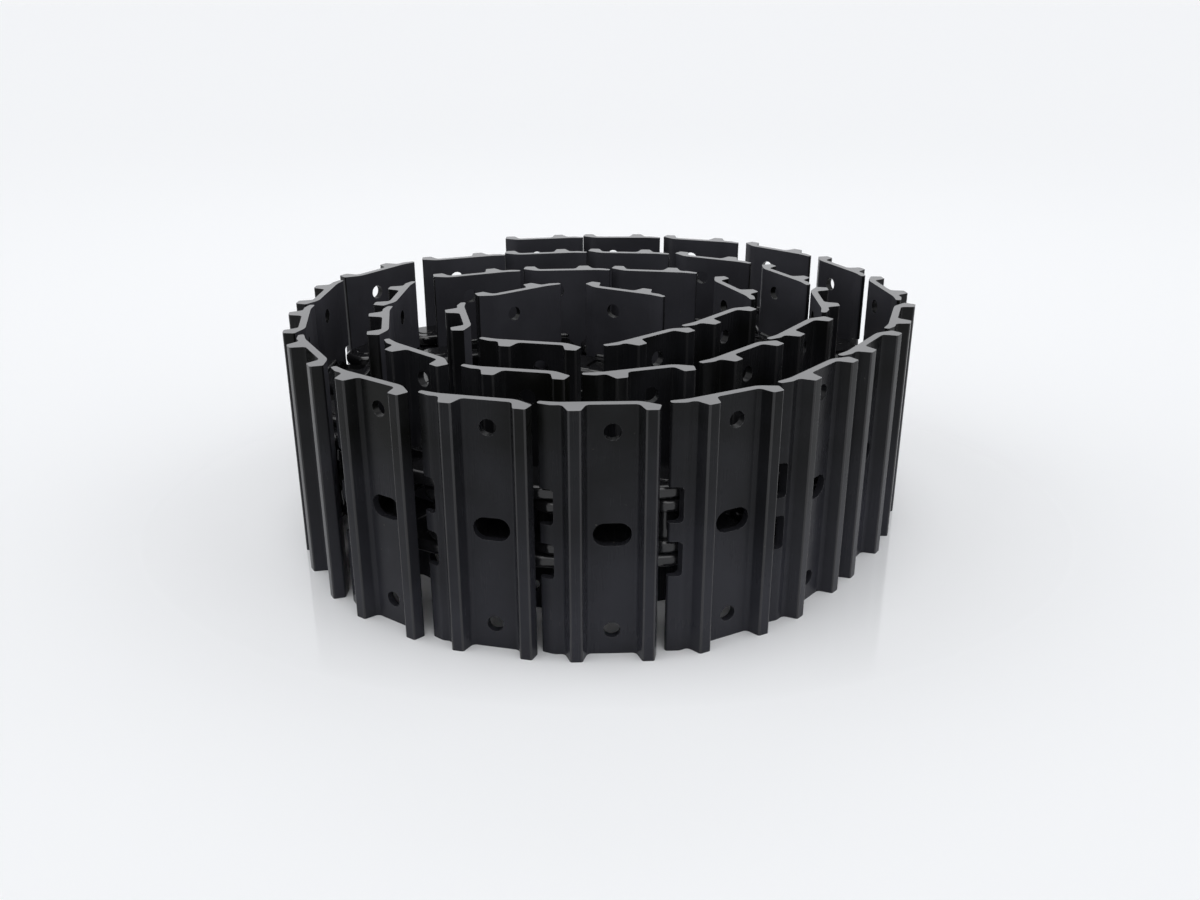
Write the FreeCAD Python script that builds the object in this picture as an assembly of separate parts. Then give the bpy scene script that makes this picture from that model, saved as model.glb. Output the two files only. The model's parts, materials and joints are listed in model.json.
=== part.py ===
import FreeCAD, Part
import math
import os

# A steel track chain lying on its side, wound inwards from its outer end. One unit is a
# double-grouser shoe welded to two offset links, with a bush at its leading end and a pin at
# its trailing end. Every unit is drawn in its own frame first: x runs from the trailing pin
# to the leading pin, y points outwards to the ground side of the shoe, and z is across the track.

# Chain
PITCH = 101.6
UNIT_COUNT = 40
SPLIT_UNITS = 20

# Shoe
SHOE_WIDTH = 250.0
SEAT_HEIGHT = 27.5
PLATE_THICKNESS = 7.5
GROUSER_HEIGHT = 14.5
GROUSER_TIP = 11.2
GROUSER_FLANK = 5.0
GROUSER_INSET = 17.4
ROOT_RADIUS = 5.0
LIP_REACH = 14.5
LIP_DROP = 3.5
LIP_THICKNESS = 5.5
LIP_START = 3.0
LIP_RADIUS = 2.0
LIP_SLANT = 1.0
LIP_BEND_RADIUS = 35.0
TAIL_GAP = 9.0
TAIL_RISE = 10.0
TAIL_KINK = 25.8
TAIL_BEND_RADIUS = 18.0
NOTCH_INNER = 9.5
NOTCH_OUTER = 45.0
NOTCH_END = 2.0
NOTCH_RADIUS = 4.0
PAD_HOLE = 16.0
PAD_HOLE_EDGE = 25.5
MUD_HOLE_LENGTH = 35.5
MUD_HOLE_WIDTH = 23.0

# Links, bush and pin
PIN_DIAMETER = 22.0
BUSH_DIAMETER = 34.0
RUNNING_CLEARANCE = 0.06
TOOTH_GAP = 28.0
LINK_THICKNESS = 13.5
SIDE_GAP = 0.5
LOBE_DROP = 3.5
LOBE_RADIUS = SEAT_HEIGHT - LOBE_DROP
LOBE_CLEARANCE = 2.0
LINK_STEP_RUN = 14.0
SEAT_INSET = 17.0
SEAT_TAIL_INSET = 29.0
POCKET_RAIL_DEPTH = 11.0
POCKET_SEAT_DEPTH = 10.0
POCKET_EDGE = 8.0
WEB_THICKNESS = 12.0
PIN_STAND_OUT = 1.0
CUT_SPARE = 1.0

# Bend at each pin in whole degrees, as the chain lies, from the outer end to the inner one
FIRST_TURN = (10, 16, 24, 24, 16, 28, 17, 6, 21, 26, 15, 22, 25, 21, 13, 32, 34, 11)
SECOND_TURN = (13, 21, 36, 29, 36, 8, 28, 29, 31, 39, 13, 64)
THIRD_TURN = (18, 12, 58, 65, 9, 51, 67, 65, 64)
START_HEADING = 10.0
# Pitch over the depth of the chain, for which those bends keep the turns apart
LAID_RATIO = 1.38


def section_depth():
    """Depth of the chain from its rails to the tips of its grousers."""
    return LOBE_RADIUS + SEAT_HEIGHT + PLATE_THICKNESS + GROUSER_HEIGHT


def coil_bends():
    """The bends of the coil, eased where a short pitch would bring its turns together."""
    ratio = PITCH / section_depth() / LAID_RATIO
    ease = min(1.0, math.sqrt(ratio))
    return [bend * ease for bend in FIRST_TURN + SECOND_TURN + THIRD_TURN]


def coil_frames():
    """Trailing pin and heading of each unit, before the coil is centred."""
    frames = []
    x = 0.0
    y = 0.0
    heading = START_HEADING
    for bend in coil_bends() + [0.0]:
        frames.append((x, y, heading))
        x += PITCH * math.cos(math.radians(heading))
        y += PITCH * math.sin(math.radians(heading))
        heading -= bend
    return frames


def rounded_outline(corners):
    """Closed wire through corners of x, y and radius, with a tangent arc at each rounded one."""
    edges = []
    ends = []
    count = len(corners)
    for i in range(count):
        x, y, radius = corners[i]
        here = FreeCAD.Vector(x, y, 0)
        before = FreeCAD.Vector(corners[i - 1][0], corners[i - 1][1], 0)
        after = FreeCAD.Vector(corners[(i + 1) % count][0], corners[(i + 1) % count][1], 0)
        if radius == 0:
            ends.append((here, here))
            continue
        back = (before - here).normalize()
        ahead = (after - here).normalize()
        half = back.getAngle(ahead) / 2
        reach = radius / math.tan(half)
        middle = (back + ahead).normalize()
        crown = here + middle * (radius / math.sin(half) - radius)
        first = here + back * reach
        last = here + ahead * reach
        edges.append(Part.Arc(first, crown, last).toShape())
        ends.append((first, last))
    for i in range(count):
        start = ends[i - 1][1]
        finish = ends[i][0]
        edges.append(Part.LineSegment(start, finish).toShape())
    return Part.Wire(Part.__sortEdges__(edges))


def slab(wire, bottom, top):
    """Solid between two heights, with the wire as its outline."""
    solid = Part.Face(wire).extrude(FreeCAD.Vector(0, 0, top - bottom))
    solid.translate(FreeCAD.Vector(0, 0, bottom))
    return solid


def rod(diameter, bottom, top, x=0.0):
    """Cylinder along z between two heights."""
    return Part.makeCylinder(diameter / 2, top - bottom, FreeCAD.Vector(x, 0, bottom))


def grouser_corners(middle, outer, tip):
    """The four corners of a grouser, from its leading root to its trailing root."""
    half_tip = GROUSER_TIP / 2
    half_root = half_tip + GROUSER_FLANK
    return [
        (middle + half_root, outer, ROOT_RADIUS),
        (middle + half_tip, tip, 0),
        (middle - half_tip, tip, 0),
        (middle - half_root, outer, ROOT_RADIUS),
    ]


def shoe_outline():
    """Rolled section of the shoe, from its lip round over the grousers and back."""
    outer = SEAT_HEIGHT + PLATE_THICKNESS
    tip = outer + GROUSER_HEIGHT
    lip_x = PITCH + LIP_REACH
    lip_inner = SEAT_HEIGHT - LIP_DROP
    lead = grouser_corners(PITCH - GROUSER_INSET, outer, tip)
    tail = grouser_corners(GROUSER_INSET, outer, tip)
    lip = [
        (lip_x - LIP_SLANT, lip_inner, LIP_RADIUS),
        (lip_x, lip_inner + LIP_THICKNESS, LIP_RADIUS),
        (PITCH + LIP_START, outer, LIP_BEND_RADIUS / 4),
    ]
    under = [
        (TAIL_GAP, SEAT_HEIGHT + TAIL_RISE, 0),
        (TAIL_KINK, SEAT_HEIGHT, TAIL_BEND_RADIUS),
        (PITCH - LIP_START, SEAT_HEIGHT, LIP_BEND_RADIUS),
    ]
    return rounded_outline(lip + lead + tail[:3] + under)


def lip_notch(side):
    """Cutter for one of the two notches that let the next links pass the lip."""
    start = PITCH + NOTCH_END
    end = PITCH + 2 * LIP_REACH
    low = min(side * NOTCH_INNER, side * NOTCH_OUTER)
    high = max(side * NOTCH_INNER, side * NOTCH_OUTER)
    corners = [(end, low, 0), (end, high, 0), (start, high, NOTCH_RADIUS), (start, low, NOTCH_RADIUS)]
    cutter = slab(rounded_outline(corners), 0, SEAT_HEIGHT + PLATE_THICKNESS + GROUSER_HEIGHT)
    cutter.rotate(FreeCAD.Vector(0, 0, 0), FreeCAD.Vector(1, 0, 0), 90)
    cutter.translate(FreeCAD.Vector(0, cutter.BoundBox.YLength, 0))
    return cutter


def plate_hole(length, width, z):
    """Cutter through the plate, round or stretched along x, at a height above mid-width."""
    depth = SEAT_HEIGHT + PLATE_THICKNESS + GROUSER_HEIGHT
    start = FreeCAD.Vector(PITCH / 2 - (length - width) / 2, 0, z)
    along_y = FreeCAD.Vector(0, 1, 0)
    hole = Part.makeCylinder(width / 2, depth, start, along_y)
    if length == width:
        return hole
    corner = FreeCAD.Vector(start.x, 0, z - width / 2)
    middle = Part.makeBox(length - width, depth, width, corner)
    far = Part.makeCylinder(width / 2, depth, start + FreeCAD.Vector(length - width, 0, 0), along_y)
    return hole.fuse([middle, far]).removeSplitter()


def track_shoe():
    """Shoe with both grousers, the notched lip, the two pad holes and the mud hole."""
    half = SHOE_WIDTH / 2
    body = slab(shoe_outline(), -half, half)
    hole_z = half - PAD_HOLE_EDGE
    cutters = [
        lip_notch(1),
        lip_notch(-1),
        plate_hole(PAD_HOLE, PAD_HOLE, hole_z),
        plate_hole(PAD_HOLE, PAD_HOLE, -hole_z),
        plate_hole(MUD_HOLE_LENGTH, MUD_HOLE_WIDTH, 0.0),
    ]
    return body.cut(cutters)


def tangent_point(centre_x, corner, side):
    """Point of a lobe where a line from the corner touches it."""
    dx = corner.x - centre_x
    angle = math.atan2(corner.y, dx) + side * math.acos(LOBE_RADIUS / math.hypot(dx, corner.y))
    return FreeCAD.Vector(centre_x + LOBE_RADIUS * math.cos(angle), LOBE_RADIUS * math.sin(angle), 0)


def link_side_outline():
    """Outline of a link seen from its side: two lobes, the rail below and the seat above."""
    tail_rail = FreeCAD.Vector(0, -LOBE_RADIUS, 0)
    lead_rail = FreeCAD.Vector(PITCH, -LOBE_RADIUS, 0)
    lead_seat = FreeCAD.Vector(PITCH - SEAT_INSET, SEAT_HEIGHT, 0)
    tail_seat = FreeCAD.Vector(SEAT_TAIL_INSET, SEAT_HEIGHT, 0)
    lead_touch = tangent_point(PITCH, lead_seat, -1)
    tail_touch = tangent_point(0.0, tail_seat, 1)
    edges = [
        Part.LineSegment(tail_rail, lead_rail).toShape(),
        Part.Arc(lead_rail, FreeCAD.Vector(PITCH + LOBE_RADIUS, 0, 0), lead_touch).toShape(),
        Part.LineSegment(lead_touch, lead_seat).toShape(),
        Part.LineSegment(lead_seat, tail_seat).toShape(),
        Part.LineSegment(tail_seat, tail_touch).toShape(),
        Part.Arc(tail_touch, FreeCAD.Vector(-LOBE_RADIUS, 0, 0), tail_rail).toShape(),
    ]
    return Part.Wire(edges)


def plan_prism(points, bottom, top):
    """Solid with an outline of x and z points, between two heights on y."""
    corners = [FreeCAD.Vector(x, bottom, z) for x, z in points]
    face = Part.Face(Part.makePolygon(corners + corners[:1]))
    return face.extrude(FreeCAD.Vector(0, top - bottom, 0))


def side_link():
    """Offset link on the +z side: leading lobe inside, trailing lobe outside, webbed between."""
    inner_low = TOOTH_GAP / 2
    inner_high = inner_low + LINK_THICKNESS
    outer_low = inner_high + SIDE_GAP
    outer_high = outer_low + LINK_THICKNESS
    swing = LOBE_RADIUS + LOBE_CLEARANCE
    reach = LOBE_RADIUS + CUT_SPARE
    step_lead = PITCH - swing
    step_tail = swing
    plan = [
        (PITCH + reach, inner_low),
        (PITCH + reach, inner_high),
        (step_lead, inner_high),
        (step_lead - LINK_STEP_RUN, outer_high),
        (-reach, outer_high),
        (-reach, outer_low),
        (step_tail, outer_low),
        (step_tail + LINK_STEP_RUN, inner_low),
    ]
    body = slab(link_side_outline(), inner_low, outer_high)
    body = body.common(plan_prism(plan, -2 * LOBE_RADIUS, 2 * SEAT_HEIGHT))
    slope = (outer_high - inner_high) / (step_lead - step_tail)
    spare = (LINK_THICKNESS - WEB_THICKNESS) / 2
    outer_pocket = [
        (step_lead - POCKET_EDGE, inner_high - spare + slope * POCKET_EDGE),
        (step_lead - POCKET_EDGE, outer_high + reach),
        (step_tail + POCKET_EDGE, outer_high + reach),
        (step_tail + POCKET_EDGE, outer_high - spare - slope * POCKET_EDGE),
    ]
    inner_pocket = [
        (step_tail + POCKET_EDGE, outer_low + spare - slope * POCKET_EDGE),
        (step_tail + POCKET_EDGE, -reach),
        (step_lead - POCKET_EDGE, -reach),
        (step_lead - POCKET_EDGE, inner_low + spare + slope * POCKET_EDGE),
    ]
    pocket_low = POCKET_RAIL_DEPTH - LOBE_RADIUS
    pocket_high = SEAT_HEIGHT - POCKET_SEAT_DEPTH
    body = body.cut([
        plan_prism(outer_pocket, pocket_low, pocket_high),
        plan_prism(inner_pocket, pocket_low, pocket_high),
        rod(PIN_DIAMETER, outer_low - SIDE_GAP, outer_high + reach),
        rod(BUSH_DIAMETER, inner_low - reach, inner_high + SIDE_GAP, PITCH),
    ])
    return body


def mirrored(solid):
    """The same piece on the other side of the track's middle plane."""
    return solid.mirror(FreeCAD.Vector(0, 0, 0), FreeCAD.Vector(0, 0, 1))


def bush():
    """Bush pressed through both leading lobes, in which the next unit's pin turns."""
    half = TOOTH_GAP / 2 + LINK_THICKNESS
    bore = PIN_DIAMETER + 2 * RUNNING_CLEARANCE
    return rod(BUSH_DIAMETER, -half, half, PITCH).cut(rod(bore, -half, half, PITCH))


def link_pin():
    """Pin pressed through both trailing lobes."""
    half = TOOTH_GAP / 2 + 2 * LINK_THICKNESS + SIDE_GAP + PIN_STAND_OUT
    return rod(PIN_DIAMETER, -half, half)


def placed(solid, frame, centre):
    """Copy of a unit's piece in the coil, with its mid-width at half the shoe's width."""
    x, y, heading = frame
    copy = solid.copy()
    copy.rotate(FreeCAD.Vector(0, 0, 0), FreeCAD.Vector(0, 0, 1), heading)
    copy.translate(FreeCAD.Vector(x - centre.x, y - centre.y, SHOE_WIDTH / 2))
    return copy


def coil_centre(shoe, frames):
    """Middle of the coil's outline in plan."""
    origin = FreeCAD.Vector(0, 0, 0)
    boxes = [placed(shoe, frame, origin).optimalBoundingBox(False) for frame in frames]
    x = (min(box.XMin for box in boxes) + max(box.XMax for box in boxes)) / 2
    y = (min(box.YMin for box in boxes) + max(box.YMax for box in boxes)) / 2
    return FreeCAD.Vector(x, y, 0)


def export(name, solids):
    """One STEP file for one node, with its separate solids."""
    shape = solids[0] if len(solids) == 1 else Part.makeCompound(solids)
    shape.exportStep("parts/" + name + ".step")


def main():
    os.makedirs("parts", exist_ok=True)
    shoe = track_shoe()
    link = side_link()
    pieces = [link, mirrored(link), bush()]
    pin = link_pin()
    frames = coil_frames()
    centre = coil_centre(shoe, frames)
    for i in range(UNIT_COUNT):
        number = "%02d" % (i + 1)
        # The outer end of the chain is open, so its first unit has no pin
        running = pieces + ([pin] if i > 0 else [])
        link_solids = [placed(piece, frames[i], centre) for piece in running]
        shoe_solid = placed(shoe, frames[i], centre)
        if i < SPLIT_UNITS:
            export("shoe_" + number, [shoe_solid])
            export("link_set_" + number, link_solids)
        else:
            export("track_unit_" + number, [shoe_solid] + link_solids)


main()
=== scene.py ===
# %% [markdown]
# # A coiled steel track chain
# The object is the track of a small digging machine, rolled up for delivery: forty steel units, each a
# rolled shoe welded on two forged links, joined by pins that turn in bushes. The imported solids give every
# size and place. Here each piece is modelled once, with the rounded edges and the paint that the solids
# lack, and then copied to its forty places.

import json
import math

import bmesh
import bpy
from mathutils import Matrix, Vector


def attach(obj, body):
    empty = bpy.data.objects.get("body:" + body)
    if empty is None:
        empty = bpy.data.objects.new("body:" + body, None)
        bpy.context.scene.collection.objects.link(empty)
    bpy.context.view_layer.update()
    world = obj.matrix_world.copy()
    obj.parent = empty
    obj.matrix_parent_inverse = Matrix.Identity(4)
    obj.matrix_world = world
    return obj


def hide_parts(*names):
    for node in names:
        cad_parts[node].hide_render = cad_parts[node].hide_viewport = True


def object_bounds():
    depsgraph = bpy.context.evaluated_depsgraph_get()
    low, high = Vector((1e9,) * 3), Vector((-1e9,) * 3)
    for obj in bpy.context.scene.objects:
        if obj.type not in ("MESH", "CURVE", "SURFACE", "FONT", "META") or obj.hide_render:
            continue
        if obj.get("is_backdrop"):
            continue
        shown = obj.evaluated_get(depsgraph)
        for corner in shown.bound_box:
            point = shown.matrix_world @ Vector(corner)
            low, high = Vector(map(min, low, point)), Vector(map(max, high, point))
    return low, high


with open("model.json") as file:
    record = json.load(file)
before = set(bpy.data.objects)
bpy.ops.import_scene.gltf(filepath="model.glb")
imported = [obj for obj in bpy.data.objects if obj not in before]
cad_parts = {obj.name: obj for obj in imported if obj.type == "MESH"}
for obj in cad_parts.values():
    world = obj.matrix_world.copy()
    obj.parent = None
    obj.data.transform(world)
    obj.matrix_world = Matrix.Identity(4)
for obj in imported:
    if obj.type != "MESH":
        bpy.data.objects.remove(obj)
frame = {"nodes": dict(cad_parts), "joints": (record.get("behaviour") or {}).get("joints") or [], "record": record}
cad_low, cad_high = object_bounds()
print("solids", len(frame["nodes"]), "from", tuple(cad_low), "to", tuple(cad_high))

# %% [markdown]
# ## Where each unit sits
# A unit's own frame has x from its trailing pin to its leading pin, y towards the ground side and z
# across the track. The pins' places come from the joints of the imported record, and the chain's two open
# ends are its two bore mounts, so nothing is measured twice.

# %% Unit frames
UNIT_COUNT = 40
SPLIT_UNITS = 20
MID_HEIGHT = (cad_low.z + cad_high.z) / 2

mounts = {mount["name"]: Vector(mount["pos_m"]) for mount in frame["record"]["mounts"]}
joints = {joint["name"]: Vector(joint["pos_m"]) for joint in frame["joints"]}
pin_places = [mounts["open_end_pin_bore"]]
for number in range(1, UNIT_COUNT):
    pin_places.append(joints[f"pin_joint_{number:02d}"])
pin_places.append(mounts["open_end_bush_bore"])


def unit_matrix(number):
    """Turn and place of a unit's own frame, for unit 1 to 40."""
    trailing = pin_places[number - 1]
    leading = pin_places[number]
    heading = math.atan2(leading.y - trailing.y, leading.x - trailing.x)
    place = Matrix.Translation((trailing.x, trailing.y, MID_HEIGHT))
    return place @ Matrix.Rotation(heading, 4, "Z")


PITCH = (pin_places[1] - pin_places[0]).length
print("units", UNIT_COUNT, "pitch", round(PITCH * 1000, 2), "mm")

# %% [markdown]
# ## Helpers for modelling by hand
# Each edit selects a few vertices, edges or faces and runs one operator on them. With no mouse, the
# selection is made by place: a test is run on the middle of every element. An operator acts on all that
# is selected, so everything is deselected first.

# %% Selection helpers
MM = 0.001
KINDS = {"VERT": 0, "EDGE": 1, "FACE": 2}


def start(name):
    """Names the primitive that was just added, applies its size and place, and enters edit mode."""
    piece = bpy.context.active_object
    piece.name = name
    bpy.ops.object.transform_apply(location=True, rotation=True, scale=True)
    bpy.ops.object.mode_set(mode="EDIT")
    return piece


def pick(kind, wanted):
    """Selects the elements of the edited mesh whose middle, in millimetres, passes the test."""
    bpy.ops.mesh.select_all(action="DESELECT")
    flags = [index == KINDS[kind] for index in range(3)]
    bpy.context.tool_settings.mesh_select_mode = flags
    mesh = bpy.context.edit_object.data
    form = bmesh.from_edit_mesh(mesh)
    for element in {"VERT": form.verts, "EDGE": form.edges, "FACE": form.faces}[kind]:
        corners = [element] if kind == "VERT" else element.verts
        if all(wanted(*(corner.co / MM)) for corner in corners):
            element.select_set(True)
    bmesh.update_edit_mesh(mesh)


def near(value, target):
    """True within a twentieth of a millimetre."""
    return abs(value - target) < 0.05


def shift(x=0.0, y=0.0, z=0.0):
    """Moves what is selected, in millimetres."""
    bpy.ops.transform.translate(value=(x * MM, y * MM, z * MM))


def cut_across(axis, place):
    """Cuts the whole edited mesh by a plane across one axis, at a place in millimetres."""
    bpy.ops.mesh.select_all(action="SELECT")
    normal = [float(axis == name) for name in "xyz"]
    point = [place * MM * part for part in normal]
    bpy.ops.mesh.bisect(plane_co=point, plane_no=normal)


def round_edge(x, y, radius, turn, segments=3, slot=-1):
    """Rounds the edges that run across the track through x, y, where the section turns by an angle."""
    pick("EDGE", lambda a, b, c: near(a, x) and near(b, y))
    offset = radius * math.tan(math.radians(turn) / 2) * MM
    bpy.ops.mesh.bevel(offset=offset, segments=segments, affect="EDGES", material=slot)


def apply_modifier(piece, kind, **settings):
    """Adds a modifier with its settings and applies it."""
    bpy.ops.object.select_all(action="DESELECT")
    piece.select_set(True)
    bpy.context.view_layer.objects.active = piece
    modifier = piece.modifiers.new(kind.lower(), kind)
    for key, value in settings.items():
        setattr(modifier, key, value)
    bpy.ops.object.modifier_apply(modifier=modifier.name)


def cut_with(piece, cutters):
    """Takes the cutters' shapes out of a piece, one after another."""
    for cutter in cutters:
        apply_modifier(piece, "BOOLEAN", operation="DIFFERENCE", solver="EXACT", object=cutter)
        bpy.data.objects.remove(cutter)


def cylinder_along(axis, x, y, z, diameter, length, vertices=32):
    """A cylinder primitive along y or z, in millimetres."""
    bpy.ops.object.select_all(action="DESELECT")
    turn = (math.radians(90), 0, 0) if axis == "y" else (0, 0, 0)
    bpy.ops.mesh.primitive_cylinder_add(
        vertices=vertices, radius=diameter / 2 * MM, depth=length * MM,
        location=(x * MM, y * MM, z * MM), rotation=turn)
    return bpy.context.active_object


def box_between(low, high):
    """A box primitive between two corners, in millimetres."""
    bpy.ops.object.select_all(action="DESELECT")
    middle = [(a + b) / 2 * MM for a, b in zip(low, high)]
    size = [(b - a) * MM for a, b in zip(low, high)]
    bpy.ops.mesh.primitive_cube_add(size=1.0, location=middle, scale=size)
    return bpy.context.active_object


print("modelling in steps of", MM, "m")

# %% [markdown]
# ## The shoe
# The shoe is a length sawn from a hot-rolled section: a thin plate with two tapered grousers, a lip that
# dips under the next shoe's tail, and a tail that rises over the lip. It starts as the flat plate
# between the grousers. The leading grouser is pulled up from its top face, and the lip and the tail are
# pulled out from its two ends, which is how the section flows through the rolls.

# %% Shoe section
SEAT = 27.5
PLATE = 7.5
OUTER = SEAT + PLATE
TIP = OUTER + 14.5
GROUSER_HALF_TIP = 5.6
GROUSER_HALF_ROOT = 10.6
GROUSER_INSET = 17.4
HALF_WIDTH = (cad_high.z - cad_low.z) / 2 / MM
PITCH_MM = PITCH / MM
LEAD = PITCH_MM - GROUSER_INSET
TAIL_ROOT = GROUSER_INSET + GROUSER_HALF_ROOT
LIP_TOP = PITCH_MM + 3.0
LIP_END = PITCH_MM + 14.5
LIP_SETBACK = 6.0
LIP_SLANT = 1.0
LIP_DROP = 3.5
LIP_TOP_DROP = 5.5
TAIL_KINK = 25.8
TAIL_MIDDLE = 18.2
TAIL_MIDDLE_RISE = 4.5
TAIL_END = 9.0
TAIL_RISE = 10.0
# Each new stretch of the section is first pulled out by this much, then shifted to its place
PULL = 30.0

box_between((TAIL_ROOT, SEAT, -HALF_WIDTH), (LIP_TOP, OUTER, HALF_WIDTH))
shoe = start("shoe_model")
cut_across("x", LEAD - GROUSER_HALF_ROOT)
cut_across("x", LEAD + GROUSER_HALF_ROOT)
pick("FACE", lambda a, b, c: near(b, OUTER) and abs(a - LEAD) < GROUSER_HALF_ROOT + 0.1)
bpy.ops.mesh.extrude_region_move(TRANSFORM_OT_translate={"value": (0, (TIP - OUTER) * MM, 0)})
bpy.ops.transform.resize(
    value=(GROUSER_HALF_TIP / GROUSER_HALF_ROOT, 1, 1), center_override=(LEAD * MM, TIP * MM, 0))

print("section with the leading grouser", len(bmesh.from_edit_mesh(shoe.data).verts), "vertices")

# %% [markdown]
# The lip is one short stretch pulled out of the plate's leading end. Its two corners are then moved one by
# one to where the section ends, a little lower than the plate.

# %% Lip of the shoe
pick("VERT", lambda a, b, c: near(a, LIP_TOP) and near(b, SEAT))
shift(x=-LIP_SETBACK)
pick("FACE", lambda a, b, c: (near(a, LIP_TOP) and near(b, OUTER))
     or (near(a, LIP_TOP - LIP_SETBACK) and near(b, SEAT)))
bpy.ops.mesh.extrude_region_move(TRANSFORM_OT_translate={"value": (PULL * MM, 0, 0)})
pick("VERT", lambda a, b, c: near(a, LIP_TOP + PULL) and near(b, OUTER))
shift(x=LIP_END - LIP_TOP - PULL, y=-LIP_TOP_DROP)
pick("VERT", lambda a, b, c: near(a, LIP_TOP - LIP_SETBACK + PULL) and near(b, SEAT))
shift(x=LIP_END - LIP_SLANT - LIP_TOP + LIP_SETBACK - PULL, y=-LIP_DROP)
print("section with the lip", len(bmesh.from_edit_mesh(shoe.data).verts), "vertices")

# %% [markdown]
# The tail is two stretches: the first climbs the trailing grouser, and the second makes its flat tip and
# leaves the raised edge under which the next shoe's lip lies.

# %% Tail of the shoe
GROUSER_FAR_TIP = GROUSER_INSET + GROUSER_HALF_TIP
pick("VERT", lambda a, b, c: near(a, TAIL_ROOT) and near(b, SEAT))
shift(x=TAIL_KINK - TAIL_ROOT)
pick("FACE", lambda a, b, c: (near(a, TAIL_ROOT) and near(b, OUTER))
     or (near(a, TAIL_KINK) and near(b, SEAT)))
bpy.ops.mesh.extrude_region_move(TRANSFORM_OT_translate={"value": (-PULL * MM, 0, 0)})
pick("VERT", lambda a, b, c: near(a, TAIL_ROOT - PULL) and near(b, OUTER))
shift(x=GROUSER_FAR_TIP - TAIL_ROOT + PULL, y=TIP - OUTER)
pick("VERT", lambda a, b, c: near(a, TAIL_KINK - PULL) and near(b, SEAT))
shift(x=TAIL_MIDDLE - TAIL_KINK + PULL, y=TAIL_MIDDLE_RISE)
pick("FACE", lambda a, b, c: a < TAIL_KINK - 0.8 and (near(b, TIP) or near(b, SEAT + TAIL_MIDDLE_RISE)))
bpy.ops.mesh.extrude_region_move(TRANSFORM_OT_translate={"value": (-PULL * MM, 0, 0)})
pick("VERT", lambda a, b, c: near(a, GROUSER_FAR_TIP - PULL) and near(b, TIP))
shift(x=PULL - 2 * GROUSER_HALF_TIP)
pick("VERT", lambda a, b, c: near(a, TAIL_MIDDLE - PULL) and near(b, SEAT + TAIL_MIDDLE_RISE))
shift(x=TAIL_END - TAIL_MIDDLE + PULL, y=TAIL_RISE - TAIL_MIDDLE_RISE)
print("shoe section points", len(bmesh.from_edit_mesh(shoe.data).verts) // 2)

# %% [markdown]
# Rolled steel has no sharp corner along its length, so each corner of the section is rounded by its own
# radius with the bevel tool: large at the grouser roots and bends, small at the tips. The shoe carries
# four paints, one each for its faces, its rounded edges, its inner side and its sawn ends. The edge paint is
# lighter partly because paint runs thin on an edge and partly as a painted highlight; the inner side is
# painted lighter as painted light from above, and the sawn ends are painted light as a painted highlight.

# %% Shoe roundings
FACE_SLOT = 0
EDGE_WEAR_AND_HIGHLIGHT_SLOT = 1
INNER_PAINTED_LIGHT_SLOT = 2
END_PAINTED_HIGHLIGHT_SLOT = 3
for name in ("shoe_paint", "shoe_edge_wear_and_highlight", "shoe_inner_painted_light", "shoe_end_painted_highlight"):
    shoe.data.materials.append(bpy.data.materials.new(name))
ROOT_RADIUS = 5.0
TIP_RADIUS = 2.2
GROUSER_TURN = 71
for root_x in (LEAD - GROUSER_HALF_ROOT, LEAD + GROUSER_HALF_ROOT, TAIL_ROOT):
    round_edge(root_x, OUTER, ROOT_RADIUS, GROUSER_TURN, 4)
# The grouser tips get the edge paint, lighter as thin paint and as a painted highlight
for middle in (LEAD, GROUSER_INSET):
    for side in (-1, 1):
        round_edge(middle + side * GROUSER_HALF_TIP, TIP, TIP_RADIUS, GROUSER_TURN, 3, EDGE_WEAR_AND_HIGHLIGHT_SLOT)
round_edge(TAIL_KINK, SEAT, 18.0, 31)
round_edge(LIP_TOP - LIP_SETBACK, SEAT, 35.0, 12)
round_edge(LIP_TOP, OUTER, 9.0, 26)
round_edge(LIP_END, OUTER - LIP_TOP_DROP, 2.2, 80, 3)
round_edge(LIP_END - LIP_SLANT, SEAT - LIP_DROP, 2.2, 90, 3)
round_edge(TAIL_END, SEAT + TAIL_RISE, 1.2, 100, 2)
bpy.ops.object.mode_set(mode="OBJECT")
print("shoe faces with rounded bends", len(shoe.data.polygons))

# %% [markdown]
# The holes are punched and the lip's notches are flame-cut, so boolean cutters make them, as a press tool
# does: one long mud hole in the middle, a bolt hole near each end, and two notches where the next unit's
# links swing past.

# %% Shoe openings
HOLE_X = PITCH_MM / 2
PAD_HOLE = 16
PAD_HOLE_EDGE = 25.5
MUD_HOLE_WIDTH = 23
MUD_HOLE_STRETCH = 12.5
NOTCH_END = PITCH_MM + 2
NOTCH_INNER = 9.5
NOTCH_OUTER = 45.0
NOTCH_RADIUS = 4
CUT_DEPTH = 60

cutters = []
for side in (-1, 1):
    hole_z = side * (HALF_WIDTH - PAD_HOLE_EDGE)
    cutters.append(cylinder_along("y", HOLE_X, OUTER, hole_z, PAD_HOLE, CUT_DEPTH))
    low = min(side * NOTCH_INNER, side * NOTCH_OUTER)
    high = max(side * NOTCH_INNER, side * NOTCH_OUTER)
    box_between((NOTCH_END, 0, low), (LIP_END + 10, CUT_DEPTH, high))
    notch = start("notch_cutter")
    pick("EDGE", lambda a, b, c: near(a, NOTCH_END) and (near(c, low) or near(c, high)))
    bpy.ops.mesh.bevel(offset=NOTCH_RADIUS * MM, segments=5, affect="EDGES")
    bpy.ops.object.mode_set(mode="OBJECT")
    cutters.append(notch)
MUD_HOLE_START = HOLE_X - MUD_HOLE_STRETCH / 2
mud_hole = cylinder_along("y", MUD_HOLE_START, OUTER, 0, MUD_HOLE_WIDTH, CUT_DEPTH, 40)
start("mud_cutter")
cut_across("x", MUD_HOLE_START)
pick("VERT", lambda a, b, c: a > MUD_HOLE_START + 0.1)
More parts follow.
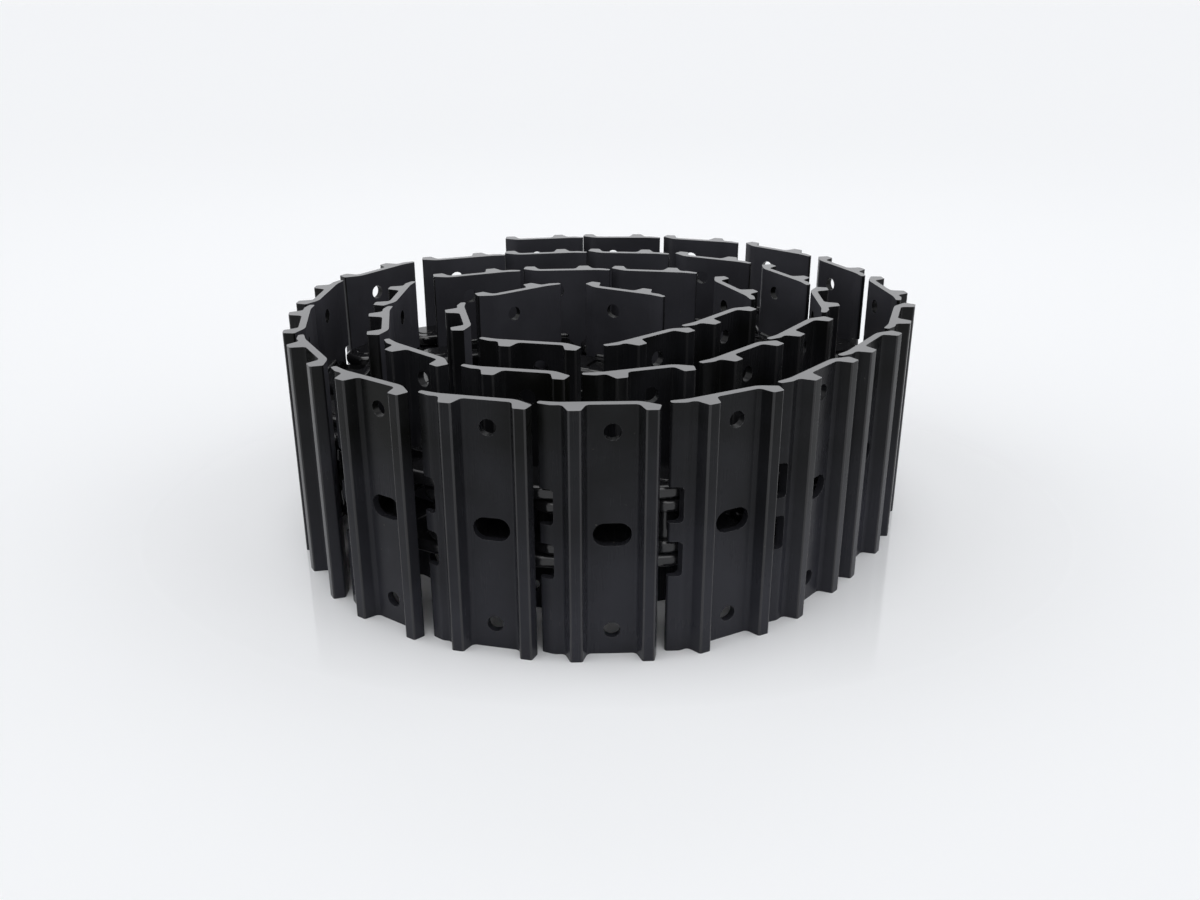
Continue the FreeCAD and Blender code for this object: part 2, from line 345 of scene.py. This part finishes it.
shift(x=MUD_HOLE_STRETCH)
bpy.ops.object.mode_set(mode="OBJECT")
cutters.append(mud_hole)
cut_with(shoe, cutters)
print("shoe openings", len(cutters))

# %% [markdown]
# Sawing and punching leave sharp rims, which a light grinding breaks. The bevel gives those rims the end
# paint, painted light as a painted highlight. The inner side and the sawn ends are then told from the
# other faces by the way they face.

# %% Shoe rims and paint slots
RIM = 1.3
FACING = 0.7
apply_modifier(shoe, "BEVEL", width=RIM * MM, segments=3, limit_method="ANGLE",
               angle_limit=math.radians(40), material=END_PAINTED_HIGHLIGHT_SLOT)
# The inner side gets the inner paint, painted lighter as painted light from above; the sawn ends get the end
# paint, a painted highlight
for face in shoe.data.polygons:
    if face.normal.y < -FACING and face.material_index == FACE_SLOT:
        face.material_index = INNER_PAINTED_LIGHT_SLOT
    if abs(face.normal.z) > FACING and abs(face.center.z) > (HALF_WIDTH - 2) * MM:
        face.material_index = END_PAINTED_HIGHLIGHT_SLOT
print("shoe faces", len(shoe.data.polygons))

# %% [markdown]
# ## The link
# Each side has one forged link: an inner lobe round the bush in front, an outer lobe round the pin
# behind, and a web that steps sideways between them. A cylinder gives both lobes at once: half of its
# rim is pulled one pitch away, the step is pushed in sideways, and the pockets and bores are cut.

# %% Link blank
LOBE = 24.0
INNER_LOW = 14.0
INNER_HIGH = 27.5
OUTER_HIGH = 41.5
STEP = OUTER_HIGH - INNER_HIGH
STEP_TAIL = 26.0
STEP_LEAD = PITCH_MM - 26.0
STEP_RUN = 14.0
SEAT_TAIL = 29.0
SEAT_LEAD = PITCH_MM - 17
PIN_DIAMETER = 22
BUSH_DIAMETER = 34

cylinder_along("z", 0, 0, (INNER_LOW + OUTER_HIGH) / 2, 2 * LOBE, OUTER_HIGH - INNER_LOW, 48)
link = start("link_model")
cut_across("x", 0)
pick("VERT", lambda a, b, c: a > 0.1)
shift(x=PITCH_MM)
for station in (SEAT_TAIL, SEAT_LEAD):
    cut_across("x", station)
pick("VERT", lambda a, b, c: b > LOBE - 0.1 and (near(a, SEAT_TAIL) or near(a, SEAT_LEAD)))
shift(y=SEAT - LOBE)
for station in (STEP_TAIL, STEP_TAIL + STEP_RUN, STEP_LEAD - STEP_RUN, STEP_LEAD):
    cut_across("x", station)
print("link vertices", len(bmesh.from_edit_mesh(link.data).verts))

# %% [markdown]
# The blank is as thick as both lobes together. Pushing the leading half in from outside and the trailing
# half out from inside leaves the step, and the die's roundings follow with the bevel.

# %% Link step
pick("VERT", lambda a, b, c: a > STEP_LEAD - 0.1 and near(c, OUTER_HIGH))
shift(z=-STEP)
pick("VERT", lambda a, b, c: a < STEP_TAIL + 0.1 and near(c, INNER_LOW))
shift(z=STEP)
bpy.ops.object.mode_set(mode="OBJECT")
FORGED_EDGE = 5.2
apply_modifier(link, "BEVEL", width=FORGED_EDGE * MM, segments=5, limit_method="ANGLE",
               angle_limit=math.radians(60), use_clamp_overlap=False)
print("link faces with the step", len(link.data.polygons))

# %% [markdown]
# The forging die also presses a pocket into each side of the link, which leaves a web of even thickness.
# The web slants from the outer lobe to the inner one, so each cutter is a box with a slanting floor. Its
# upright corners are rounded as the die's are, or the steel wouldn't fill them.

# %% Link pockets
POCKET_TAIL = STEP_TAIL + 8
POCKET_LEAD = STEP_LEAD - 8
POCKET_LOW = 11.0 - LOBE
POCKET_HIGH = SEAT - 10
POCKET_RADIUS = 6


def pocket_cutter(tail_floor, lead_floor, far):
    """A box with a slanting floor, from the pocket's floor to a height clear of the link."""
    box_between((POCKET_TAIL, POCKET_LOW, lead_floor), (POCKET_LEAD, POCKET_HIGH, far))
    cutter = start("pocket_cutter")
    pick("VERT", lambda a, b, c: near(a, POCKET_TAIL) and near(c, lead_floor))
    shift(z=tail_floor - lead_floor)
    for x in (POCKET_TAIL, POCKET_LEAD):
        for y in (POCKET_LOW, POCKET_HIGH):
            pick("EDGE", lambda a, b, c: near(a, x) and near(b, y))
            bpy.ops.mesh.bevel(offset=POCKET_RADIUS * MM, segments=4, affect="EDGES")
    bpy.ops.object.mode_set(mode="OBJECT")
    return cutter


cut_with(link, [pocket_cutter(38.5, 29.0, 60.0), pocket_cutter(26.5, 17.0, -10.0)])
print("link faces with pockets", len(link.data.polygons))

# %% [markdown]
# The bores are machined after forging, so they are cut last, with a small chamfer on their rims.

# %% Link bores
cut_with(link, [
    cylinder_along("z", 0, 0, 35, PIN_DIAMETER, 40),
    cylinder_along("z", PITCH_MM, 0, 20, BUSH_DIAMETER, 30, 40),
])
apply_modifier(link, "BEVEL", width=0.9 * MM, segments=2, limit_method="ANGLE", angle_limit=math.radians(50))
print("link faces", len(link.data.polygons))

# %% [markdown]
# ## The weld beads
# Two fillet welds hold each link to the shoe, one along the outside of the trailing half and one along
# the inside of the leading half. A bead is a row of overlapping pools, each frozen before the next, so it
# is one flattened ball repeated by an array at a short, even step.

# %% Weld beads
WELD_STEP = 2.1
WELD_RADIUS = 3.2
WELD_HEIGHT = SEAT - 0.6


def weld_row(name, first_x, last_x, z):
    """A row of overlapping pools in the corner between the link's side and the shoe's inner face."""
    bpy.ops.object.select_all(action="DESELECT")
    centre = (first_x * MM, WELD_HEIGHT * MM, z * MM)
    bpy.ops.mesh.primitive_uv_sphere_add(
        segments=12, ring_count=6, radius=WELD_RADIUS * MM, location=centre)
    row = start(name)
    bpy.ops.mesh.select_all(action="SELECT")
    bpy.ops.transform.resize(value=(1.5, 1.0, 1.0), center_override=centre)
    bpy.ops.object.mode_set(mode="OBJECT")
    count = int((last_x - first_x) / WELD_STEP)
    apply_modifier(row, "ARRAY", count=count, use_relative_offset=False, use_constant_offset=True,
                   constant_offset_displace=(WELD_STEP * MM, 0, 0))
    return row


outer_weld = weld_row("outer_weld_model", 32.0, STEP_LEAD - STEP_RUN, OUTER_HIGH)
inner_weld = weld_row("inner_weld_model", STEP_TAIL + STEP_RUN, 82.0, INNER_LOW)
print("faces of the weld rows", len(outer_weld.data.polygons) + len(inner_weld.data.polygons))

# %% [markdown]
# ## The bush and the pin
# Both are turned parts: the bush is a thick tube pressed through the leading lobes, and the pin is a
# solid rod pressed through the trailing lobes, with a chamfer ground on each end.

# %% Bush
BUSH_BORE = PIN_DIAMETER + 0.12
bush = cylinder_along("z", PITCH_MM, 0, 0, BUSH_DIAMETER, 2 * INNER_HIGH, 40)
bush.name = "bush_model"
cut_with(bush, [cylinder_along("z", PITCH_MM, 0, 0, BUSH_BORE, 80, 32)])
apply_modifier(bush, "BEVEL", width=0.8 * MM, segments=2, limit_method="ANGLE", angle_limit=math.radians(40))
print("bush faces", len(bush.data.polygons))

# %% [markdown]
# The pin runs through both outer lobes and stands out a little at each end.

# %% Pin
PIN_STAND_OUT = 1
pin = cylinder_along("z", 0, 0, 0, PIN_DIAMETER, 2 * (OUTER_HIGH + PIN_STAND_OUT), 32)
pin.name = "pin_model"
apply_modifier(pin, "BEVEL", width=1.2 * MM, segments=2, limit_method="ANGLE", angle_limit=math.radians(40))
print("pin faces", len(pin.data.polygons))

# %% [markdown]
# ## Smooth shading
# Faces that meet at a small angle are shaded as one curve, and the weighted normals keep the flat faces
# flat next to their rounded edges.

# %% Smooth the models
MODELS = (shoe, link, bush, pin, outer_weld, inner_weld)
for model in MODELS:
    bpy.ops.object.select_all(action="DESELECT")
    model.select_set(True)
    bpy.context.view_layer.objects.active = model
    bpy.ops.object.shade_smooth_by_angle(angle=math.radians(50))
    apply_modifier(model, "WEIGHTED_NORMAL", keep_sharp=True)
    print(model.name, len(model.data.polygons), "faces")

# %% [markdown]
# ## Black paint on steel
# The paint is satin black, and it is never one even black. It is olive black at the upper end and is
# painted lighter and bluish towards the pale floor, a painted reflection of that floor. It is duller on the
# inner side, which is painted lighter as painted light from above, glossy on the forged links, lighter along
# edges partly as thin paint and partly as a painted highlight, and painted light on sawn ends as a painted
# highlight. Small functions make the nodes that all of these share.

# %% Node helpers
def noise(nodes, links, vector, scale, detail):
    """A noise texture on a vector, with its scale per metre."""
    texture = nodes.new("ShaderNodeTexNoise")
    texture.inputs["Scale"].default_value = scale
    texture.inputs["Detail"].default_value = detail
    links.new(vector, texture.inputs["Vector"])
    return texture.outputs["Fac"]


def remap(nodes, links, value, low, high, to_low, to_high):
    """Maps a range of a value to another range, clamped at both ends."""
    node = nodes.new("ShaderNodeMapRange")
    node.inputs["From Min"].default_value = low
    node.inputs["From Max"].default_value = high
    node.inputs["To Min"].default_value = to_low
    node.inputs["To Max"].default_value = to_high
    links.new(value, node.inputs["Value"])
    return node.outputs["Result"]


def blend_colour(nodes, links, factor, first, second):
    """Mixes two colours by a factor; either colour may be a socket or four numbers."""
    node = nodes.new("ShaderNodeMix")
    node.data_type = "RGBA"
    links.new(factor, node.inputs["Factor"])
    for name, colour in (("A", first), ("B", second)):
        if isinstance(colour, bpy.types.NodeSocket):
            links.new(colour, node.inputs[name])
        else:
            node.inputs[name].default_value = colour
    return node.outputs["Result"]


def sum_of(nodes, links, first, second, clamp=False):
    """Adds two values, and keeps the sum between 0 and 1 on request."""
    node = nodes.new("ShaderNodeMath")
    node.operation = "ADD"
    node.use_clamp = clamp
    links.new(first, node.inputs[0])
    links.new(second, node.inputs[1])
    return node.outputs["Value"]


print("node helpers ready")

# %% [markdown]
# One function makes every paint. The tone follows a cloud of noise and is painted lighter towards the floor by
# height, a painted reflection of the pale floor;
# fine noise and streaks along the rolling direction give the roughness and the relief, and a few chips show
# lighter.

# %% Paint
STREAK_STRETCH = (1.0, 1.0, 0.03)
STREAK_SHARE = 0.03
RELIEF_DEPTH = 0.0004
CHIP_COLOUR = (0.07, 0.067, 0.06, 1)


def paint_material(name, dark, light, roughness, relief, specular, painted_floor_reflection):
    """Satin black paint: a tone that clouds and is painted lighter towards the floor as a painted reflection,
    streaks, grain and a few chips.
    """
    material = bpy.data.materials.get(name) or bpy.data.materials.new(name)
    material.use_nodes = True
    nodes = material.node_tree.nodes
    links = material.node_tree.links
    shader = nodes["Principled BSDF"]
    place = nodes.new("ShaderNodeTexCoord").outputs["Object"]
    parts = nodes.new("ShaderNodeSeparateXYZ")
    links.new(place, parts.inputs["Vector"])
    stretch = nodes.new("ShaderNodeMapping")
    stretch.inputs["Scale"].default_value = STREAK_STRETCH
    links.new(place, stretch.inputs["Vector"])
    cloud = noise(nodes, links, place, 9.0, 5.0)
    streaks = noise(nodes, links, stretch.outputs["Vector"], 420.0, 3.0)
    fine = noise(nodes, links, place, 380.0, 3.0)
    chips = noise(nodes, links, place, 190.0, 2.0)
    # Painted reflection: the tone is lighter low down, standing in for the pale floor seen in the paint
    low = remap(nodes, links, parts.outputs["Z"], 0.03, 0.21, painted_floor_reflection, 0.0)
    share = sum_of(nodes, links, low, remap(nodes, links, cloud, 0.35, 0.7, 0.0, 0.5), clamp=True)
    tone = blend_colour(nodes, links, share, (*dark, 1), (*light, 1))
    worn = remap(nodes, links, chips, 0.77, 0.81, 0.0, 0.7)
    tone = blend_colour(nodes, links, worn, tone, CHIP_COLOUR)
    links.new(tone, shader.inputs["Base Color"])
    clouded = remap(nodes, links, cloud, 0.3, 0.7, roughness - 0.05, roughness + 0.05)
    uneven = sum_of(nodes, links, clouded, remap(nodes, links, streaks, 0.3, 0.7, -0.015, 0.015))
    links.new(uneven, shader.inputs["Roughness"])
    height = nodes.new("ShaderNodeMath")
    height.operation = "MULTIPLY_ADD"
    height.inputs[1].default_value = STREAK_SHARE
    links.new(streaks, height.inputs[0])
    links.new(fine, height.inputs[2])
    bump = nodes.new("ShaderNodeBump")
    bump.inputs["Strength"].default_value = relief
    bump.inputs["Distance"].default_value = RELIEF_DEPTH
    links.new(height.outputs["Value"], bump.inputs["Height"])
    links.new(bump.outputs["Normal"], shader.inputs["Normal"])
    shader.inputs["Specular IOR Level"].default_value = specular


print("streaks", round(1 / STREAK_STRETCH[2]), "times as long as wide")

# %% [markdown]
# The shoe has four paints, and links, bushes, pins and welds share the glossier fifth.

# %% The paints
# Dark tone, light tone, roughness, relief, specular level, and how far the painted floor reflection lightens the
# tone towards the floor
# The edge paint is lighter as thin paint and as a painted highlight, the end paint is light as a painted
# highlight, and the inner paint is lighter as painted light from above
PAINTS = {
    "shoe_paint": ((0.0040, 0.0042, 0.0036), (0.0285, 0.0290, 0.0355), 0.26, 0.05, 0.12, 0.75),
    "shoe_edge_wear_and_highlight": ((0.017, 0.017, 0.017), (0.038, 0.038, 0.043), 0.22, 0.05, 0.3, 0.5),
    "shoe_end_painted_highlight": ((0.10, 0.10, 0.105), (0.155, 0.157, 0.165), 0.16, 0.08, 1.0, 0.0),
    "shoe_inner_painted_light": ((0.032, 0.032, 0.038), (0.074, 0.075, 0.089), 0.4, 0.05, 0.2, 0.0),
    "link_paint": ((0.006, 0.006, 0.0065), (0.014, 0.014, 0.016), 0.16, 0.08, 0.5, 0.3),
}
for name, values in PAINTS.items():
    paint_material(name, *values)
for model in MODELS[1:]:
    model.data.materials.clear()
    model.data.materials.append(bpy.data.materials["link_paint"])
print("paints", ", ".join(PAINTS))

# %% [markdown]
# ## Forty units
# Each copy gets its own mesh, turned and moved in the mesh itself, so that its object stays at the
# origin as the solids' objects do. It rides on its unit's body and stands for that unit's solids.

# %% Copies
def copy_to(model, name, number, mirror=False):
    """Copies a model to a unit, riding on the unit's body in place of its solid."""
    mesh = model.data.copy()
    if mirror:
        mesh.transform(Matrix.Scale(-1, 4, (0, 0, 1)))
        mesh.flip_normals()
    mesh.transform(unit_matrix(number))
    piece = bpy.data.objects.new(f"{name}_{number:02d}", mesh)
    bpy.context.scene.collection.objects.link(piece)
    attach(piece, f"unit_{number:02d}")
    if number > SPLIT_UNITS:
        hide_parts(f"track_unit_{number:02d}")
    elif model in (shoe, outer_weld, inner_weld):
        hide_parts(f"shoe_{number:02d}")
    else:
        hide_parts(f"link_set_{number:02d}")
    return piece


pieces = []
for number in range(1, UNIT_COUNT + 1):
    pieces.append(copy_to(shoe, "rolled_shoe", number))
    pieces.append(copy_to(link, "right_link", number))
    pieces.append(copy_to(link, "left_link", number, mirror=True))
    pieces.append(copy_to(bush, "turning_bush", number))
    for weld, label in ((outer_weld, "outer_weld"), (inner_weld, "inner_weld")):
        pieces.append(copy_to(weld, "right_" + label, number))
        pieces.append(copy_to(weld, "left_" + label, number, mirror=True))
    if number > 1:
        pieces.append(copy_to(pin, "joint_pin", number))
for model in MODELS:
    bpy.data.objects.remove(model)
print("pieces", len(pieces))

# %% [markdown]
# ## Floor, light and camera
# The picture is a studio shot on a white sweep, with a soft shadow to each side and a faint mirror image
# that fades within a hand's width. The floor is a pale surface that takes the shadow. It is glossy only
# in an oval band round the coil, where the mirror image is. Distant lamps light the whole floor evenly,
# so that it stays equally pale out to the backdrop, and a chain laid out long keeps its shadow too.

# %% Floor
FLOOR_SIZE = 40.0
FLOOR_COLOUR = (0.93, 0.94, 0.957, 1)
BAND_SHAPE = (0.85, 1.1, 1.0)
bpy.ops.object.select_all(action="DESELECT")
bpy.ops.mesh.primitive_plane_add(size=FLOOR_SIZE, location=(0, 0, 0))
floor = bpy.context.active_object
floor.name = "floor"
floor_paint = bpy.data.materials.new("pale_floor")
floor_paint.use_nodes = True
nodes = floor_paint.node_tree.nodes
links = floor_paint.node_tree.links
floor_shader = nodes["Principled BSDF"]
floor_shader.inputs["Base Color"].default_value = FLOOR_COLOUR
floor_shader.inputs["Roughness"].default_value = 0.06
floor_shader.inputs["IOR"].default_value = 1.5
oval = nodes.new("ShaderNodeMapping")
oval.inputs["Scale"].default_value = BAND_SHAPE
links.new(nodes.new("ShaderNodeTexCoord").outputs["Object"], oval.inputs["Vector"])
reach = nodes.new("ShaderNodeVectorMath")
reach.operation = "LENGTH"
links.new(oval.outputs["Vector"], reach.inputs[0])
band = nodes.new("ShaderNodeMath")
band.operation = "MULTIPLY"
links.new(remap(nodes, links, reach.outputs["Value"], 0.18, 0.30, 0.0, 1.0), band.inputs[0])
links.new(remap(nodes, links, reach.outputs["Value"], 0.30, 0.46, 1.0, 0.0), band.inputs[1])
links.new(band.outputs["Value"], floor_shader.inputs["Specular IOR Level"])
floor.data.materials.append(floor_paint)
floor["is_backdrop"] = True
print("floor", FLOOR_SIZE, "m wide")

# %% [markdown]
# The backdrop is white to the camera and in mirror images. It lights the chain with less than half of
# that strength, or the lamps would draw no shadow.

# %% World
BACKDROP = (0.912, 0.921, 0.939, 1)
AMBIENT = 0.38
world = bpy.data.worlds.new("studio")
bpy.context.scene.world = world
world.use_nodes = True
nodes = world.node_tree.nodes
links = world.node_tree.links
background = nodes["Background"]
background.inputs["Color"].default_value = BACKDROP
path = nodes.new("ShaderNodeLightPath")
seen = path.outputs["Is Camera Ray"]
for name in ("Is Glossy Ray", "Is Transmission Ray"):
    either = nodes.new("ShaderNodeMath")
    either.operation = "MAXIMUM"
    links.new(seen, either.inputs[0])
    links.new(path.outputs[name], either.inputs[1])
    seen = either.outputs["Value"]
links.new(remap(nodes, links, seen, 0.0, 1.0, AMBIENT, 1.0), background.inputs["Strength"])
print("backdrop", BACKDROP[:3], "ambient light", AMBIENT)


# %% [markdown]
# Four distant lamps stand for large soft boxes: one in front, one overhead and one at each side. Each
# fills a wide angle of the sky, which softens its shadow. A weak soft box behind lights the rims.

# %% Lamps
def add_lamp(name, kind, place, target, power):
    """A studio lamp that looks at a point; its shape is set by the caller."""
    lamp = bpy.data.lights.new(name, kind)
    lamp.energy = power
    holder = bpy.data.objects.new(name, lamp)
    bpy.context.scene.collection.objects.link(holder)
    holder.location = place
    direction = Vector(target) - Vector(place)
    holder.rotation_euler = direction.to_track_quat("-Z", "Y").to_euler()
    return lamp


# Name, place, power and the angle that the lamp fills, in degrees
DISTANT_LAMPS = (
    ("even_front_light", (0.3, -1.6, 2.0), 0.55, 40),
    ("even_top_light", (-0.1, -0.1, 2.4), 0.75, 34),
    ("even_left_light", (-2.0, -0.2, 1.3), 0.7, 60),
    ("even_right_light", (2.0, -0.2, 1.3), 0.7, 60),
)
for name, place, power, spread in DISTANT_LAMPS:
    add_lamp(name, "SUN", place, (0, 0, 0), power).angle = math.radians(spread)
soft_box = add_lamp("back_soft_box", "AREA", (0.0, 1.6, 1.9), (0, 0, 0.25), 3)
soft_box.shape = "RECTANGLE"
soft_box.size = 1.8
soft_box.size_y = 0.4
print("lamps", len(DISTANT_LAMPS) + 1)

# %% [markdown]
# The camera's place, tilt and focal length were found together with the plan of the coil, by matching
# points of the shoes to where they lie in the picture.

# %% Camera
PHOTO_WIDTH = 1200
FOCAL_PIXELS = 1139.3
SENSOR_WIDTH = 36.0
camera_data = bpy.data.cameras.new("camera")
camera_data.sensor_width = SENSOR_WIDTH
camera_data.lens = SENSOR_WIDTH * FOCAL_PIXELS / PHOTO_WIDTH
camera = bpy.data.objects.new("camera", camera_data)
bpy.context.scene.collection.objects.link(camera)
camera.location = (-0.0075, -1.2419, 0.5939)
camera.rotation_euler = (math.radians(90 - 22.951), 0, 0)
bpy.context.scene.camera = camera
bpy.context.scene.view_settings.view_transform = "Standard"
print("lens", round(camera_data.lens, 2), "mm")

# %% [markdown]
# The dressed chain has to keep the size of the solids, so both boxes are written down and printed.

# %% Sizes and finish
low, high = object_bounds()
print("solids", [round(v, 4) for v in (*cad_low, *cad_high)])
print("dressed", [round(v, 4) for v in (*low, *high)])
